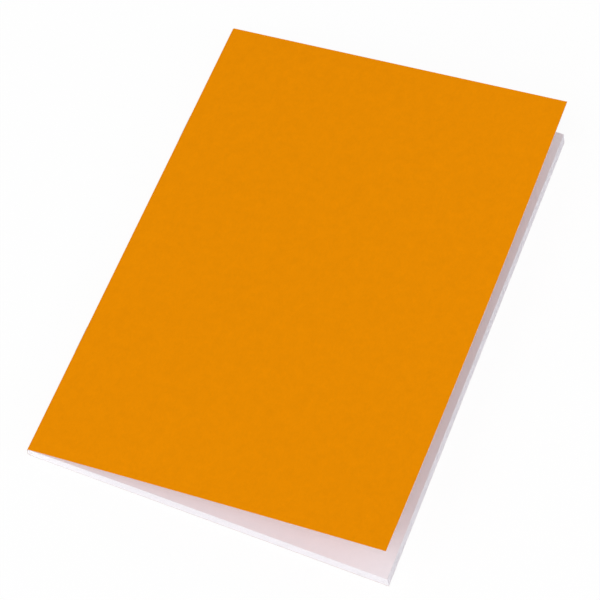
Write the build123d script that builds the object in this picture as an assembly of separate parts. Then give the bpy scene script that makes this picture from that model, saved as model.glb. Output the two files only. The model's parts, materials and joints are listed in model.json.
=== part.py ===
from build123d import *
import os

# Stapled exercise book: folded sheets nested in a card cover, with two wire staples through the fold.
# It lies on its back cover, and the front cover is sprung a little open.
# Millimetres. X runs from spine to fore edge, Y from tail to head, Z is up.
# The origin is under the middle of the book, on the surface it lies on.

# Driving dimensions
book_width = 148.0
book_height = 210.0
sheet_count = 20
paper_thickness = 0.09
leaf_gap = 0.01
fore_rise = 1.0
cover_thickness = 0.28
cover_lift = 9.3
spine_corner_radius = 1.25
crease_gap = 0.02
score_margin = 0.2
hinge_gap = 0.1
hinge_rise = 0.05
staple_wire = 0.45
staple_crown = 12.0
staple_spacing = 106.0
staple_clinch = 4.0
staple_bend = 0.15
staple_clearance = 0.03
clinch_clearance = 0.06

# Heights are measured from the middle plane, in which the creases and the staples lie
wire_radius = staple_wire / 2
leg_room = wire_radius + staple_clearance
clinch_room = wire_radius + clinch_clearance
leaf_pitch = paper_thickness + leaf_gap
cover_inner = clinch_room + sheet_count * leaf_pitch
half_thickness = cover_inner + cover_thickness
fore_pitch = (cover_inner + fore_rise - leaf_gap / 2) / sheet_count

spine_x = -book_width / 2
fore_x = book_width / 2
fold_x = spine_x + half_thickness
corner_share = spine_corner_radius / half_thickness
crown_x = spine_x - leg_room
hinge_x = fold_x - (1 - corner_share) * cover_inner + score_margin


def fold_line(height, end_x, end_height):
    """Half a fold at this height: up the pressed spine, round its corner and out to its end."""
    radius = corner_share * height
    side_x = fold_x - height
    corner_x = side_x + radius
    line = Line((side_x, crease_gap / 2), (side_x, height - radius))
    line += CenterArc((corner_x, height - radius), radius, 180, -90)
    line += Line((corner_x, height), (end_x, end_height))
    return line


def folded_half(inner, thickness, end_x, end_inner):
    """The upper half of a folded sheet or card, given by the heights of its inner face at both ends."""
    outer = inner + thickness
    end_outer = end_inner + thickness
    crease = Line((fold_x - inner, crease_gap / 2), (fold_x - outer, crease_gap / 2))
    trimmed_edge = Line((end_x, end_inner), (end_x, end_outer))
    outline = fold_line(inner, end_x, end_inner) + fold_line(outer, end_x, end_outer)
    profile = Plane.XZ * make_face((outline + crease + trimmed_edge).edges())
    return extrude(profile, amount=book_height / 2, both=True) - leg_holes


def leaf(number, rise):
    """Half a sheet, as an upper half. It is pressed at the fold and springs up at the fore edge."""
    fold_height = clinch_room + (number - 1) * leaf_pitch
    fore_height = rise + leaf_gap / 2 + (number - 1) * fore_pitch
    return folded_half(fold_height, paper_thickness, fore_x, fore_height)


def leg_hole(y):
    """The hole that one staple leg punches on its way through the folds."""
    return Pos((crown_x + fold_x) / 2, y, 0) * Box(fold_x - crown_x, 2 * leg_room, 2 * leg_room)


def staple():
    """A wire staple: crown along the spine, legs through the folds, clinched towards each other."""
    leg_y = staple_crown / 2
    corners = [(fold_x, leg_y - staple_clinch), (fold_x, leg_y), (crown_x, leg_y)]
    corners += [(x, -y) for x, y in reversed(corners)]
    wire = Polyline(corners).wire()
    bends = wire.vertices().group_by(lambda corner: abs(corner.Y))[-1]
    wire = wire.chamfer_2d(staple_bend, staple_bend, bends)
    section = Plane(wire @ 0, z_dir=wire % 0) * Circle(wire_radius)
    return sweep(section, path=wire, transition=Transition.RIGHT)


def front_cover():
    """The front panel of the cover, turned up about the crease at the spine's upper edge."""
    length = fore_x - hinge_x - hinge_gap
    panel = Pos(fore_x - length / 2, 0, half_thickness - cover_thickness / 2) * Box(
        length, book_height, cover_thickness
    )
    crease_line = Axis((hinge_x, 0, half_thickness + hinge_rise), (0, -1, 0))
    return panel.rotate(crease_line, cover_lift)


staple_ys = {"tail_staple": -staple_spacing / 2, "head_staple": staple_spacing / 2}
leg_holes = Part() + [
    leg_hole(y + side * staple_crown / 2) for y in staple_ys.values() for side in (-1, 1)
]

nodes = {
    "front_cover": front_cover(),
    "spine_fold": folded_half(cover_inner, cover_thickness, hinge_x, cover_inner),
    "back_cover": mirror(
        folded_half(cover_inner, cover_thickness, fore_x, cover_inner), about=Plane.XY
    ),
}
for number in range(1, sheet_count + 1):
    nodes[f"sheet_{number:02d}_front_leaf"] = leaf(number, fore_rise)
    nodes[f"sheet_{number:02d}_back_leaf"] = mirror(leaf(number, -fore_rise), about=Plane.XY)
for name, y in staple_ys.items():
    nodes[name] = Pos(0, y, 0) * staple()

os.makedirs("parts", exist_ok=True)
for name, shape in nodes.items():
    placed = Pos(0, 0, half_thickness) * shape
    export_step(placed, f"parts/{name}.step")
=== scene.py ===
import json
import math
import random
from collections import namedtuple

import bmesh
import bpy
from bpy.props import FloatProperty, FloatVectorProperty, IntProperty, PointerProperty
from mathutils import Matrix, Vector


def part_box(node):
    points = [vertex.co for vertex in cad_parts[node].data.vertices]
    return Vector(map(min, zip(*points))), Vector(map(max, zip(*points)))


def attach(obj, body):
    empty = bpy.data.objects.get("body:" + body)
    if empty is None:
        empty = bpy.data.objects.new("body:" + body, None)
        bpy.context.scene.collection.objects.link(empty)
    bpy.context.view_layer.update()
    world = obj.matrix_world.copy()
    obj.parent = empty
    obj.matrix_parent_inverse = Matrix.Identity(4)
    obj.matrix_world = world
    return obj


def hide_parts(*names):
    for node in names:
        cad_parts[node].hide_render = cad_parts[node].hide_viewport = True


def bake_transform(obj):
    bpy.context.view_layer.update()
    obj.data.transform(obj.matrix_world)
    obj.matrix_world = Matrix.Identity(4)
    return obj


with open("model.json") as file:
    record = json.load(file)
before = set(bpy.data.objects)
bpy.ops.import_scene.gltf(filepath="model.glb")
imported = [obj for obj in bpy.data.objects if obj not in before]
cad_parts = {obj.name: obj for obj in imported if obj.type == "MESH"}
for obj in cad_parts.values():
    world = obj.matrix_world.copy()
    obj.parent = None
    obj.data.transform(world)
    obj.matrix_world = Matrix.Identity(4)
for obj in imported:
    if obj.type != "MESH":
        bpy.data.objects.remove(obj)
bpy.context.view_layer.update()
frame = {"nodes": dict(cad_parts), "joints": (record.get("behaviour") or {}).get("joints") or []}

bl_info = {
    "name": "Stapled Exercise Book",
    "version": (1, 0, 0),
    "blender": (4, 5, 0),
    "location": "3D View > Sidebar > Exercise Book",
    "description": "Card cover, folded sheets and wire staples around the book's frame",
    "category": "Object",
}

# One millimetre, in metres
MM = 0.001

# Places taken from the frame, in metres
NODES = frame["nodes"]
JOINTS = {joint["name"]: joint for joint in frame["joints"]}
CROWN = Vector(JOINTS["leaves_turn"]["pos_m"])
SCORE = Vector(JOINTS["cover_lift"]["pos_m"])
LOW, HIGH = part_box("back_cover")
SHEETS = sum(name.endswith("_front_leaf") for name in NODES)
STAPLES = ("tail_staple", "head_staple")
HALF_THICKNESS = CROWN.z - LOW.z
FOLD_X = LOW.x + HALF_THICKNESS
FLAT_LENGTH = HIGH.x - FOLD_X
BOOK_HEIGHT = HIGH.y - LOW.y

# Divisions of the meshes
CARD_ROWS = 30
LEAF_ROWS = 24
LEAF_CUTS = 16
FOLD_SEGMENTS = 7
WIRE_SIDES = 14
WIRE_BEND_STEPS = 6

# Up to the first distance from a staple's middle its wire keeps the leaves apart,
# and from the second on they lie pressed together
STAPLE_GRIP = 8 * MM
STAPLE_REACH = 30 * MM

# Brings the highest point of x (1 - x)^2, a third of the way along, to 1
PUFF_SCALE = 27 / 4

# How the drop grows towards the fore edge
DROP_POWER = 1.3

LeafHalf = namedtuple("LeafHalf", "name side fold_x height fore_z share")


def length(name, description, default):
    """A length that a user may change, in metres."""
    return FloatProperty(
        name=name, description=description, default=default, precision=5, subtype="DISTANCE", unit="LENGTH"
    )


def colour(name, description, default):
    """A colour that a user may change, in linear values."""
    return FloatVectorProperty(
        name=name, description=description, default=default, size=3, min=0, max=1, subtype="COLOR"
    )


class ExerciseBookCover(bpy.types.PropertyGroup):
    """The folded card cover."""

    card: length("Card", "Thickness of the cover card", 0.28 * MM)
    corner: length("Spine corner", "Radius of the spine's outer corners", 1.25 * MM)
    tail_curl: length("Tail curl", "Rise of the front panel's tail fore corner", 3.7 * MM)
    head_curl: length("Head curl", "Rise of the front panel's head fore corner", 1.3 * MM)
    dip: length("Dip", "Sag of the fore edge between its corners", 0.4 * MM)
    tail_bow: length("Tail bow", "Crown of the front panel along its tail edge", 1.5 * MM)
    head_bow: length("Head bow", "Crown of the front panel along its head edge", 0.3 * MM)
    outside: colour("Outside", "Coloured side of the card", (0.83, 0.267, 0.0003))
    lining: colour("Inside", "Inner side of the card", (0.78, 0.39, 0.29))
    # Cut edge colour: partly the card's grey-white core, partly painted shade. It is darkened to draw the
    # thin shadow line along the book's bottom edge, where it meets the floor.
    core: colour("Cut edge", "Core that shows where the card is trimmed", (0.62, 0.56, 0.54))


class ExerciseBookSheets(bpy.types.PropertyGroup):
    """The folded sheets."""

    paper: length("Paper", "Thickness of a leaf", 0.1 * MM)
    drop: length("Drop", "How far the top leaf's fore edge settles", 0.6 * MM)
    puff: length("Puff", "Bulge of the top leaf a third of the way from the fold", 0.7 * MM)
    set_back: length("Set-back", "How far the top leaf's fore edge draws back", 0.95 * MM)
    slack: length("Slack", "Room left between the middle leaves away from the staples", 0.03 * MM)
    seed: IntProperty(name="Seed", description="Spacing of the leaves", default=4, min=0)
    page: colour("Page", "Face of a leaf", (0.83, 0.80, 0.85))
    edge: colour("Page edge", "Trimmed edge of a leaf", (0.93, 0.91, 0.94))


class ExerciseBookStaples(bpy.types.PropertyGroup):
    """The wire staples."""

    wire: length("Wire", "Diameter of the staple wire", 0.45 * MM)
    bend: length("Bend", "Bend radius along the middle of the wire", 0.36 * MM)
    clinch: length("Clinch", "Length of each clinched end", 4.0 * MM)
    steel: colour("Steel", "Colour of the wire", (0.50, 0.51, 0.52))


def texture(nodes, links, size, detail, stretch=(1, 1, 1), roughness=0.5):
    """Noise in the piece's own coordinates, with features of about this size in metres."""
    place = nodes.new("ShaderNodeTexCoord")
    mapping = nodes.new("ShaderNodeMapping")
    mapping.inputs["Scale"].default_value = stretch
    noise = nodes.new("ShaderNodeTexNoise")
    noise.inputs["Scale"].default_value = 1 / size
    noise.inputs["Detail"].default_value = detail
    noise.inputs["Roughness"].default_value = roughness
    links.new(place.outputs["Object"], mapping.inputs["Vector"])
    links.new(mapping.outputs["Vector"], noise.inputs["Vector"])
    return noise.outputs["Fac"]


def ramp(nodes, links, value, stops):
    """A colour ramp over a texture's value."""
    node = nodes.new("ShaderNodeValToRGB")
    elements = node.color_ramp.elements
    while len(elements) < len(stops):
        elements.new(0.5)
    for element, (position, tint) in zip(elements, stops):
        element.position = position
        element.color = (*tint, 1)
    links.new(value, node.inputs["Fac"])
    return node.outputs["Color"]


def span(nodes, links, value, low, high):
    """A texture's middle values spread from low to high."""
    node = nodes.new("ShaderNodeMapRange")
    node.inputs["From Min"].default_value = 0.3
    node.inputs["From Max"].default_value = 0.7
    node.inputs["To Min"].default_value = low
    node.inputs["To Max"].default_value = high
    links.new(value, node.inputs["Value"])
    return node.outputs["Result"]


def blended(nodes, links, first, second, share):
    """Two texture values mixed, with this share of the second."""
    node = nodes.new("ShaderNodeMix")
    node.inputs["Factor"].default_value = share
    links.new(first, node.inputs["A"])
    links.new(second, node.inputs["B"])
    return node.outputs["Result"]


def dents(nodes, links, shader, height, strength, depth):
    """Bumps on a shader from a texture's value."""
    node = nodes.new("ShaderNodeBump")
    node.inputs["Strength"].default_value = strength
    node.inputs["Distance"].default_value = depth
    links.new(height, node.inputs["Height"])
    links.new(node.outputs["Normal"], shader.inputs["Normal"])


def new_material(name):
    """An empty procedural material and the parts to build it with."""
    material = bpy.data.materials.new(name)
    material.use_nodes = True
    nodes, links = material.node_tree.nodes, material.node_tree.links
    return material, nodes, links, nodes["Principled BSDF"]


def shaded(tint, factor):
    """A colour made darker or lighter."""
    return tuple(min(1, channel * factor) for channel in tint)


def fibre_stock(name, tint, contrast, cloud, fibre, gloss):
    """Paper or card: cloudy formation, fine fibres that roughen it, and almost no shine."""
    material, nodes, links, shader = new_material(name)
    clouds = texture(nodes, links, cloud, detail=8, roughness=0.72)
    fibres = texture(nodes, links, fibre, detail=3, stretch=(1, 0.45, 1))
    formation = blended(nodes, links, clouds, fibres, share=0.3)
    tints = [(0.32, shaded(tint, 1 - contrast)), (0.5, tint), (0.68, shaded(tint, 1 + contrast))]
    links.new(ramp(nodes, links, formation, tints), shader.inputs["Base Color"])
    links.new(span(nodes, links, fibres, low=0.62, high=0.82), shader.inputs["Roughness"])
    shader.inputs["Specular IOR Level"].default_value = gloss
    dents(nodes, links, shader, fibres, strength=0.25, depth=0.02 * MM)
    return material


def trimmed_stock(name, tint, layer):
    """The trimmed edge of paper or card, with faint layers."""
    material, nodes, links, shader = new_material(name)
    layers = texture(nodes, links, layer, detail=2, stretch=(0.05, 0.05, 1))
    tints = [(0.35, shaded(tint, 0.93)), (0.65, shaded(tint, 1.03))]
    links.new(ramp(nodes, links, layers, tints), shader.inputs["Base Color"])
    links.new(span(nodes, links, layers, low=0.75, high=0.9), shader.inputs["Roughness"])
    shader.inputs["Specular IOR Level"].default_value = 0.15
    return material


def drawn_wire(name, tint):
    """Drawn steel wire with fine lengthwise marks."""
    material, nodes, links, shader = new_material(name)
    marks = texture(nodes, links, 0.12 * MM, detail=3, stretch=(1, 0.08, 1))
    tints = [(0.35, shaded(tint, 0.8)), (0.65, shaded(tint, 1.1))]
    links.new(ramp(nodes, links, marks, tints), shader.inputs["Base Color"])
    links.new(span(nodes, links, marks, low=0.24, high=0.4), shader.inputs["Roughness"])
    shader.inputs["Metallic"].default_value = 1.0
    dents(nodes, links, shader, marks, strength=0.2, depth=0.01 * MM)
    return material


def runs_along(edge):
    """Whether an edge runs from tail to head."""
    return abs(edge.verts[0].co.y - edge.verts[1].co.y) > MM


def far_edge(edge):
    """The edge across a face strip from one of its ends."""
    strip = edge.link_faces[0]
    return next(other for other in strip.edges if not set(other.verts) & set(edge.verts))


def folded_sheet(section, rounds, cuts, rows, facing):
    """A sheet that follows a section from tail to head, its first flat facing the given way.
    Section points are (x, z), rounds give a point's bend radius, cuts give a flat's divisions."""
    bm = bmesh.new()
    corners = [bm.verts.new((x, LOW.y, z)) for x, z in section]
    flats = [bm.edges.new(ends) for ends in zip(corners, corners[1:])]
    drawn = bmesh.ops.extrude_edge_only(bm, edges=flats)["geom"]
    head = [item for item in drawn if isinstance(item, bmesh.types.BMVert)]
    bmesh.ops.translate(bm, verts=head, vec=(0, BOOK_HEIGHT, 0))
    folds = {number: next(filter(runs_along, corners[number].link_edges)) for number in rounds}
    for number, count in cuts.items():
        flat = flats[number]
        bmesh.ops.subdivide_edges(bm, edges=[flat, far_edge(flat)], cuts=count, use_grid_fill=True)
    for number, radius in rounds.items():
        bmesh.ops.bevel(
            bm, geom=[folds[number]], offset=radius, offset_type="OFFSET", segments=FOLD_SEGMENTS,
            profile=0.5, affect="EDGES", material=-1,
        )
    long_edges = [edge for edge in bm.edges if runs_along(edge)]
    bmesh.ops.subdivide_edges(bm, edges=long_edges, cuts=rows, use_grid_fill=True)
    bm.normal_update()
    start = Vector((section[0][0], 0, section[0][1]))
    first = min(bm.faces, key=lambda face: (face.calc_center_median() - start).length)
    if first.normal.dot(facing) < 0:
        bmesh.ops.reverse_faces(bm, faces=bm.faces)
    return bm


def finish_sheet(name, bm, thickness, materials, smooth):
    """The sheet as a piece with its thickness on the inside, and its trimmed edges sharp.
    The materials are those of its outside, its inside and its trimmed edges."""
    for edge in bm.edges:
        edge.smooth = not edge.is_boundary
    for face in bm.faces:
        face.smooth = smooth
    mesh = bpy.data.meshes.new(name)
    bm.to_mesh(mesh)
    bm.free()
    piece = bpy.data.objects.new(name, mesh)
    bpy.context.scene.collection.objects.link(piece)
    for material in materials:
        mesh.materials.append(material)
    shell = piece.modifiers.new("Thickness", "SOLIDIFY")
    shell.thickness = thickness
    shell.offset = -1
    shell.material_offset = 1
    shell.material_offset_rim = 2
    return piece


def ease(value, low, high):
    """Smooth step from 0 at low to 1 at high."""
    share = min(1, max(0, (value - low) / (high - low)))
    return share * share * (3 - 2 * share)


class EXERCISEBOOK_OT_cover(bpy.types.Operator):
    """Fold the card cover: back panel and spine, and the sprung front panel"""

    bl_idname = "exercise_book.cover"
    bl_label = "Cover"

    def execute(self, context):
        book = context.scene.exercise_book_cover
        grain = {"contrast": 0.045, "cloud": 4 * MM, "fibre": 0.7 * MM}
        materials = [
            fibre_stock("cover_card_orange", book.outside, gloss=0.015, **grain),
            fibre_stock("cover_card_inside", book.lining, gloss=0.15, **grain),
            # The card's cut edges carry painted shade: their colour is darkened to draw the thin shadow
            # line at the book's bottom edge.
            trimmed_stock("cover_card_cut_edge_and_shade", book.core, layer=0.05 * MM),
        ]
        seam_rise = 0.6 * MM
        seam_z = CROWN.z + seam_rise
        self.make_back(book, materials, seam_z)
        self.make_front(book, materials, seam_z)
        return {"FINISHED"}

    def make_back(self, book, materials, seam_z):
        """The back panel and the spine, with a crease level with the staple crowns."""
        crease = 0.02 * MM
        section = [
            (HIGH.x, LOW.z),
            (LOW.x, LOW.z),
            (LOW.x, CROWN.z - crease),
            (LOW.x, CROWN.z + crease),
            (LOW.x, seam_z),
        ]
        panel, bend = 0, 2
        lower_corner = 1
        bm = folded_sheet(
            section, {lower_corner: book.corner}, {panel: 14, bend: 9}, CARD_ROWS, Vector((0, 0, -1))
        )
        piece = finish_sheet("cover_back", bm, book.card, materials, True)
        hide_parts("back_cover", "spine_fold")
        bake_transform(piece)

    def make_front(self, book, materials, seam_z):
        """The spine's upper corner and the front panel, finely divided at the score between them."""
        places = [vertex.co for vertex in NODES["front_cover"].data.vertices]
        fore = max(places, key=lambda place: place.z)
        near = max((place for place in places if place.x < SCORE.x + MM), key=lambda place: place.z)
        run = Vector((fore.x - near.x, 0, fore.z - near.z))
        slope = run.z / run.x
        up = Vector((-run.z, 0, run.x)).normalized()
        before = 0.25 * MM
        after = 0.9 * MM
        upper_radius = 1.05 * MM

        def on_panel(x):
            return (x, near.z + (x - near.x) * slope)

        section = [
            (fore.x, fore.z),
            on_panel(SCORE.x + after),
            on_panel(SCORE.x - before),
            on_panel(LOW.x),
            (LOW.x, seam_z),
        ]
        panel, bend = 0, 1
        upper_corner = 3
        bm = folded_sheet(section, {upper_corner: upper_radius}, {panel: 22, bend: 9}, CARD_ROWS, up)
        self.spring(book, bm.verts, fore.x, up)
        piece = finish_sheet("cover_front", bm, book.card, materials, True)
        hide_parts("front_cover")
        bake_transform(piece)

    def spring(self, book, verts, fore_x, up):
        """Bows the front panel between the crease and the fore edge, and curls its fore corners up."""
        bow_mean, bow_twist = (book.head_bow + book.tail_bow) / 2, (book.head_bow - book.tail_bow) / 2
        curl_mean, curl_twist = (book.head_curl + book.tail_curl) / 2, (book.head_curl - book.tail_curl) / 2
        bow_start = 0.04
        for vert in verts:
            along = (vert.co.x - SCORE.x) / (fore_x - SCORE.x)
            if along > 0:
                across = 2 * vert.co.y / BOOK_HEIGHT
                bow = bow_mean + bow_twist * across
                curl = (curl_mean + book.dip) * across**2 + curl_twist * across - book.dip
                arch = 4 * along * (1 - along) * ease(along, 0, bow_start)
                vert.co += up * (curl * along**2 + bow * arch)


class EXERCISEBOOK_OT_sheets(bpy.types.Operator):
    """Fold and nest the sheets, pressed at the fold and sprung open at the fore edge"""

    bl_idname = "exercise_book.sheets"
    bl_label = "Sheets"

    def execute(self, context):
        book = context.scene.exercise_book_sheets
        corner_share = context.scene.exercise_book_cover.corner / HALF_THICKNESS
        page = fibre_stock("paper_page", book.page, contrast=0.02, cloud=5 * MM, fibre=0.4 * MM, gloss=0.2)
        materials = [page, page, trimmed_stock("paper_trimmed_edge", book.edge, layer=0.03 * MM)]
        shares = self.spring_shares(book.seed)
        for number in range(1, SHEETS + 1):
            back = self.half(number, "back", shares[SHEETS - number])
            front = self.half(number, "front", shares[SHEETS + number - 1])
            radius = corner_share * front.height
            if number == 1:
                self.make_inner(book, materials, back, front, radius)
            else:
                self.make_leaf(book, materials, back, radius, "back_half")
                self.make_leaf(book, materials, front, radius, f"leaf_{number:02d}")
        return {"FINISHED"}

    def spring_shares(self, seed):
        """Each leaf's share of the block's spring, from the lowest leaf to the top one, unevenly spaced."""
        draws = random.Random(seed)
        narrow, wide = 0.4, 1.6
        gaps = [draws.uniform(narrow, wide) for _ in range(2 * SHEETS - 1)]
        shares = [0.0]
        for gap in gaps:
            shares.append(shares[-1] + gap / sum(gaps))
        return shares

    def half(self, number, name, share):
        """Half a sheet as its node gives it: its fold, its height off the crease and its fore edge."""
        node = f"sheet_{number:02d}_{name}_leaf"
        side = 1 if name == "front" else -1
        fold_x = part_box(node)[0].x
        fore_x = HIGH.x - 0.01 * MM
        fore_zs = [vertex.co.z for vertex in NODES[node].data.vertices if vertex.co.x > fore_x]
        fore_z = max(fore_zs) if side > 0 else min(fore_zs)
        return LeafHalf(f"sheet_{number:02d}_{name}", side, fold_x, FOLD_X - fold_x, fore_z, share)

    def section(self, half, crease):
        """A half's outer face before it is settled: fore edge, fold corner and crease."""
        z = CROWN.z + half.side * half.height
        return [(HIGH.x, z), (half.fold_x, z), (half.fold_x, CROWN.z + half.side * crease)]

    def settle(self, book, verts, half):
        """Slopes a half to its fore edge and presses it flat away from the staples.
        By its share, it also puffs up near the fold, and its fore edge settles and draws back."""
        top = FOLD_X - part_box(f"sheet_{SHEETS:02d}_front_leaf")[0].x
        first = FOLD_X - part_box("sheet_01_front_leaf")[0].x
        pressed = top - (top - half.height) * (top - book.paper - book.slack) / (top - first)
        staple_ys = [sum(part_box(node), Vector()).y / 2 for node in STAPLES]
        for vert in verts:
            along = max(0, (vert.co.x - FOLD_X) / FLAT_LENGTH)
            free = ease(min(abs(vert.co.y - y) for y in staple_ys), STAPLE_GRIP, STAPLE_REACH)
            squeeze = 1 - free * (1 - pressed / half.height)
            height = (vert.co.z - CROWN.z) * squeeze * (1 - along) + (half.fore_z - CROWN.z) * along
            bulge = book.puff * PUFF_SCALE * along * (1 - along) ** 2
            vert.co.z = CROWN.z + height + half.share * (bulge - along**DROP_POWER * book.drop)
            vert.co.x -= half.share * along**2 * book.set_back

    def make_leaf(self, book, materials, half, radius, body):
        """Half a sheet, from its fore edge to the crease."""
        crease = 0.01 * MM
        facing = Vector((0, 0, half.side))
        flat, fold = 0, 1
        bm = folded_sheet(self.section(half, crease), {fold: radius}, {flat: LEAF_CUTS}, LEAF_ROWS, facing)
        self.settle(book, bm.verts, half)
        piece = finish_sheet(half.name, bm, book.paper, materials, False)
        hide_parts(f"{half.name}_leaf")
        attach(piece, body)

    def make_inner(self, book, materials, back, front, radius):
        """The innermost sheet in one piece, with its gutter folded into the crease.
        It is folded while both halves lie flat, and settled after."""
        edge = 0.004 * MM
        gutter_x = CROWN.x + 0.6 * MM
        gutter = [(gutter_x, CROWN.z - edge), (gutter_x, CROWN.z + edge)]
        section = self.section(back, edge) + gutter + self.section(front, edge)[::-1]
        back_fold, front_fold = 1, 6
        back_flat, bend, front_flat = 0, 3, 6
        rounds = {back_fold: radius, front_fold: radius}
        cuts = {back_flat: LEAF_CUTS, bend: 11, front_flat: LEAF_CUTS}
        bm = folded_sheet(section, rounds, cuts, LEAF_ROWS, Vector((0, 0, -1)))
        piece = finish_sheet("sheet_01", bm, book.paper, materials, False)
        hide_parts("sheet_01_back_leaf", "sheet_01_front_leaf")
        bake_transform(piece)
        halves = {side: [] for side in (-1, 1)}
        for vert in piece.data.vertices:
            halves[1 if vert.co.z > CROWN.z else -1].append(vert)
        for half in (back, front):
            self.settle(book, halves[half.side], half)


class EXERCISEBOOK_OT_staples(bpy.types.Operator):
    """Bend the wire staples through the fold"""

    bl_idname = "exercise_book.staples"
    bl_label = "Staples"

    def execute(self, context):
        book = context.scene.exercise_book_staples
        steel = drawn_wire("staple_wire_steel", book.steel)
        for node in STAPLES:
            self.make(book, steel, node)
        return {"FINISHED"}

    def make(self, book, steel, node):
        """One staple: its wire is drawn from a clinched end to the middle of the crown, and mirrored."""
        low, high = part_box(node)
        middle_y = (low.y + high.y) / 2
        leg_y = (high.y - low.y) / 2 - book.wire / 2
        clinch_x, crown_x = high.x - book.wire / 2, low.x + book.wire / 2
        tip = Matrix.Translation((clinch_x, leg_y - book.clinch, CROWN.z))
        bm = bmesh.new()
        bmesh.ops.create_circle(
            bm, cap_ends=True, segments=WIRE_SIDES, radius=book.wire / 2,
            matrix=tip @ Matrix.Rotation(math.pi / 2, 4, "X"),
        )
        end = bm.faces[:]
        end = self.run(bm, end, (0, book.clinch - book.bend, 0))
        end = self.turn(bm, end, (clinch_x - book.bend, leg_y - book.bend, CROWN.z))
        end = self.run(bm, end, (crown_x - clinch_x + 2 * book.bend, 0, 0))
        end = self.turn(bm, end, (crown_x + book.bend, leg_y - book.bend, CROWN.z))
        end = self.run(bm, end, (0, book.bend - leg_y, 0))
        bmesh.ops.delete(bm, geom=end, context="FACES_ONLY")
        bmesh.ops.mirror(bm, geom=bm.verts[:] + bm.edges[:] + bm.faces[:], axis="Y", merge_dist=0.001 * MM)
        bmesh.ops.recalc_face_normals(bm, faces=bm.faces)
        bmesh.ops.translate(bm, verts=bm.verts, vec=(0, middle_y, 0))
        for face in bm.faces:
            face.smooth = len(face.verts) == 4
        mesh = bpy.data.meshes.new(f"{node}_wire")
        bm.to_mesh(mesh)
        bm.free()
        mesh.materials.append(steel)
        piece = bpy.data.objects.new(f"{node}_wire", mesh)
        bpy.context.scene.collection.objects.link(piece)
        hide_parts(node)
        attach(piece, "back_half")

    def run(self, bm, end, move):
        """Draws the wire's end straight on."""
        drawn = bmesh.ops.extrude_face_region(bm, geom=end)["geom"]
        verts = [item for item in drawn if isinstance(item, bmesh.types.BMVert)]
        bmesh.ops.translate(bm, verts=verts, vec=move)
        return [item for item in drawn if isinstance(item, bmesh.types.BMFace)]

    def turn(self, bm, end, centre):
        """Bends the wire's end a quarter turn in the plane of the crease."""
        edges = [edge for face in end for edge in face.edges]
        verts = [vert for face in end for vert in face.verts]
        spun = bmesh.ops.spin(
            bm, geom=end + edges + verts, cent=centre, axis=(0, 0, 1), dvec=(0, 0, 0),
            angle=math.pi / 2, steps=WIRE_BEND_STEPS, use_duplicate=False,
        )
        return [item for item in spun["geom_last"] if isinstance(item, bmesh.types.BMFace)]


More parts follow.
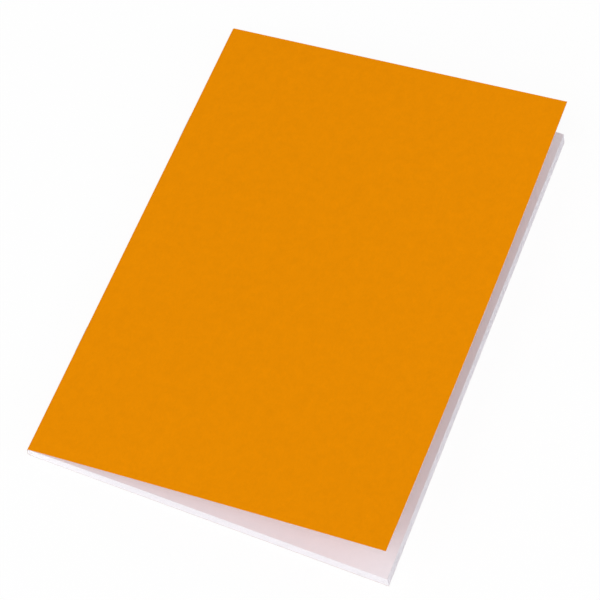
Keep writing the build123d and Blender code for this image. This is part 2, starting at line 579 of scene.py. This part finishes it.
class EXERCISEBOOK_OT_stage(bpy.types.Operator):
    """Set the floor, the studio light and the camera"""

    bl_idname = "exercise_book.stage"
    bl_label = "Stage"

    def execute(self, context):
        self.make_floor()
        self.make_world()
        self.make_lights()
        self.make_camera()
        context.scene.view_settings.view_transform = "Standard"
        return {"FINISHED"}

    def seen_white(self, nodes, links):
        """1 for what the camera sees, directly, in a reflection or through a clear piece."""
        path = nodes.new("ShaderNodeLightPath")
        first, second = nodes.new("ShaderNodeMath"), nodes.new("ShaderNodeMath")
        first.operation = second.operation = "MAXIMUM"
        links.new(path.outputs["Is Camera Ray"], first.inputs[0])
        links.new(path.outputs["Is Glossy Ray"], first.inputs[1])
        links.new(first.outputs["Value"], second.inputs[0])
        links.new(path.outputs["Is Transmission Ray"], second.inputs[1])
        return second.outputs["Value"]

    def make_floor(self):
        """A pale floor that looks almost white and keeps a faint shadow."""
        reach = 4
        white_share = 0.93
        bm = bmesh.new()
        bmesh.ops.create_grid(bm, x_segments=1, y_segments=1, size=reach)
        mesh = bpy.data.meshes.new("floor")
        bm.to_mesh(mesh)
        bm.free()
        floor = bpy.data.objects.new("floor", mesh)
        bpy.context.scene.collection.objects.link(floor)
        material = bpy.data.materials.new("floor_white")
        material.use_nodes = True
        nodes, links = material.node_tree.nodes, material.node_tree.links
        nodes.clear()
        diffuse, glow = nodes.new("ShaderNodeBsdfDiffuse"), nodes.new("ShaderNodeEmission")
        diffuse.inputs["Color"].default_value = (0.92, 0.92, 0.92, 1)
        glow.inputs["Color"].default_value = (1, 1, 1, 1)
        mix, output = nodes.new("ShaderNodeMixShader"), nodes.new("ShaderNodeOutputMaterial")
        share = nodes.new("ShaderNodeMath")
        share.operation = "MULTIPLY"
        share.inputs[1].default_value = white_share
        links.new(self.seen_white(nodes, links), share.inputs[0])
        links.new(share.outputs["Value"], mix.inputs["Fac"])
        links.new(diffuse.outputs["BSDF"], mix.inputs[1])
        links.new(glow.outputs["Emission"], mix.inputs[2])
        links.new(mix.outputs["Shader"], output.inputs["Surface"])
        mesh.materials.append(material)

    def make_world(self):
        """Soft light from all round, behind which the camera sees white."""
        soft_strength = 0.54
        world = bpy.data.worlds.new("studio")
        bpy.context.scene.world = world
        world.use_nodes = True
        nodes, links = world.node_tree.nodes, world.node_tree.links
        nodes.clear()
        soft, white = nodes.new("ShaderNodeBackground"), nodes.new("ShaderNodeBackground")
        soft.inputs["Color"].default_value = (1, 1, 1, 1)
        soft.inputs["Strength"].default_value = soft_strength
        white.inputs["Color"].default_value = (1, 1, 1, 1)
        mix, output = nodes.new("ShaderNodeMixShader"), nodes.new("ShaderNodeOutputWorld")
        links.new(self.seen_white(nodes, links), mix.inputs["Fac"])
        links.new(soft.outputs["Background"], mix.inputs[1])
        links.new(white.outputs["Background"], mix.inputs[2])
        links.new(mix.outputs["Shader"], output.inputs["Surface"])

    def make_lights(self):
        """Soft boxes that face the book: place and size in metres, power in watts."""
        for name, place, size, power in (
            ("key_light", (-1.25, -2.4, 3.65), 2.8, 72.0),
            ("front_light", (0.4, -3.65, 1.95), 2.2, 42.5),
            ("fore_edge_light", (2.9, -0.1, 0.4), 1.3, 41.0),
            ("head_light", (1.3, 2.2, 1.7), 1.6, 5.5),
        ):
            lamp = bpy.data.lights.new(name, "AREA")
            lamp.size = size
            lamp.energy = power
            light = bpy.data.objects.new(name, lamp)
            light.location = place
            light.rotation_euler = (-Vector(place)).to_track_quat("-Z", "Y").to_euler()
            bpy.context.scene.collection.objects.link(light)

    def make_camera(self):
        """The camera at the photograph's viewing angle, from the tail and the fore edge."""
        azimuth = math.radians(20.641)
        elevation = math.radians(61.743)
        roll = math.radians(0.727)
        target = Vector((-1.081, -3.811, 0)) * MM
        distance = 0.9293
        level = math.cos(elevation)
        back = Vector((math.sin(azimuth) * level, -math.cos(azimuth) * level, math.sin(elevation)))
        data = bpy.data.cameras.new("camera")
        data.lens = 139.83
        camera = bpy.data.objects.new("camera", data)
        camera.location = target + back * distance
        upright = (-back).to_track_quat("-Z", "Y").to_matrix()
        camera.rotation_euler = (upright @ Matrix.Rotation(roll, 3, "Z")).to_euler()
        bpy.context.scene.collection.objects.link(camera)
        bpy.context.scene.camera = camera


class EXERCISEBOOK_PT_panel(bpy.types.Panel):
    """The book's pieces and their sizes"""

    bl_label = "Exercise Book"
    bl_idname = "EXERCISEBOOK_PT_panel"
    bl_space_type = "VIEW_3D"
    bl_region_type = "UI"
    bl_category = "Exercise Book"

    def draw(self, context):
        for operator in OPERATORS:
            self.layout.operator(operator.bl_idname)
        for name in GROUPS:
            box = self.layout.box()
            settings = getattr(context.scene, name)
            for field in settings.__annotations__:
                box.prop(settings, field)


GROUPS = {
    "exercise_book_cover": ExerciseBookCover,
    "exercise_book_sheets": ExerciseBookSheets,
    "exercise_book_staples": ExerciseBookStaples,
}
OPERATORS = (
    EXERCISEBOOK_OT_cover,
    EXERCISEBOOK_OT_sheets,
    EXERCISEBOOK_OT_staples,
    EXERCISEBOOK_OT_stage,
)
CLASSES = (*GROUPS.values(), *OPERATORS, EXERCISEBOOK_PT_panel)


def register():
    for kind in CLASSES:
        bpy.utils.register_class(kind)
    for name, kind in GROUPS.items():
        setattr(bpy.types.Scene, name, PointerProperty(type=kind))


def unregister():
    for name in GROUPS:
        delattr(bpy.types.Scene, name)
    for kind in reversed(CLASSES):
        bpy.utils.unregister_class(kind)


def main():
    register()
    bpy.ops.exercise_book.cover()
    bpy.ops.exercise_book.sheets()
    bpy.ops.exercise_book.staples()
    bpy.ops.exercise_book.stage()
    bpy.context.view_layer.update()


if __name__ == "__main__":
    main()
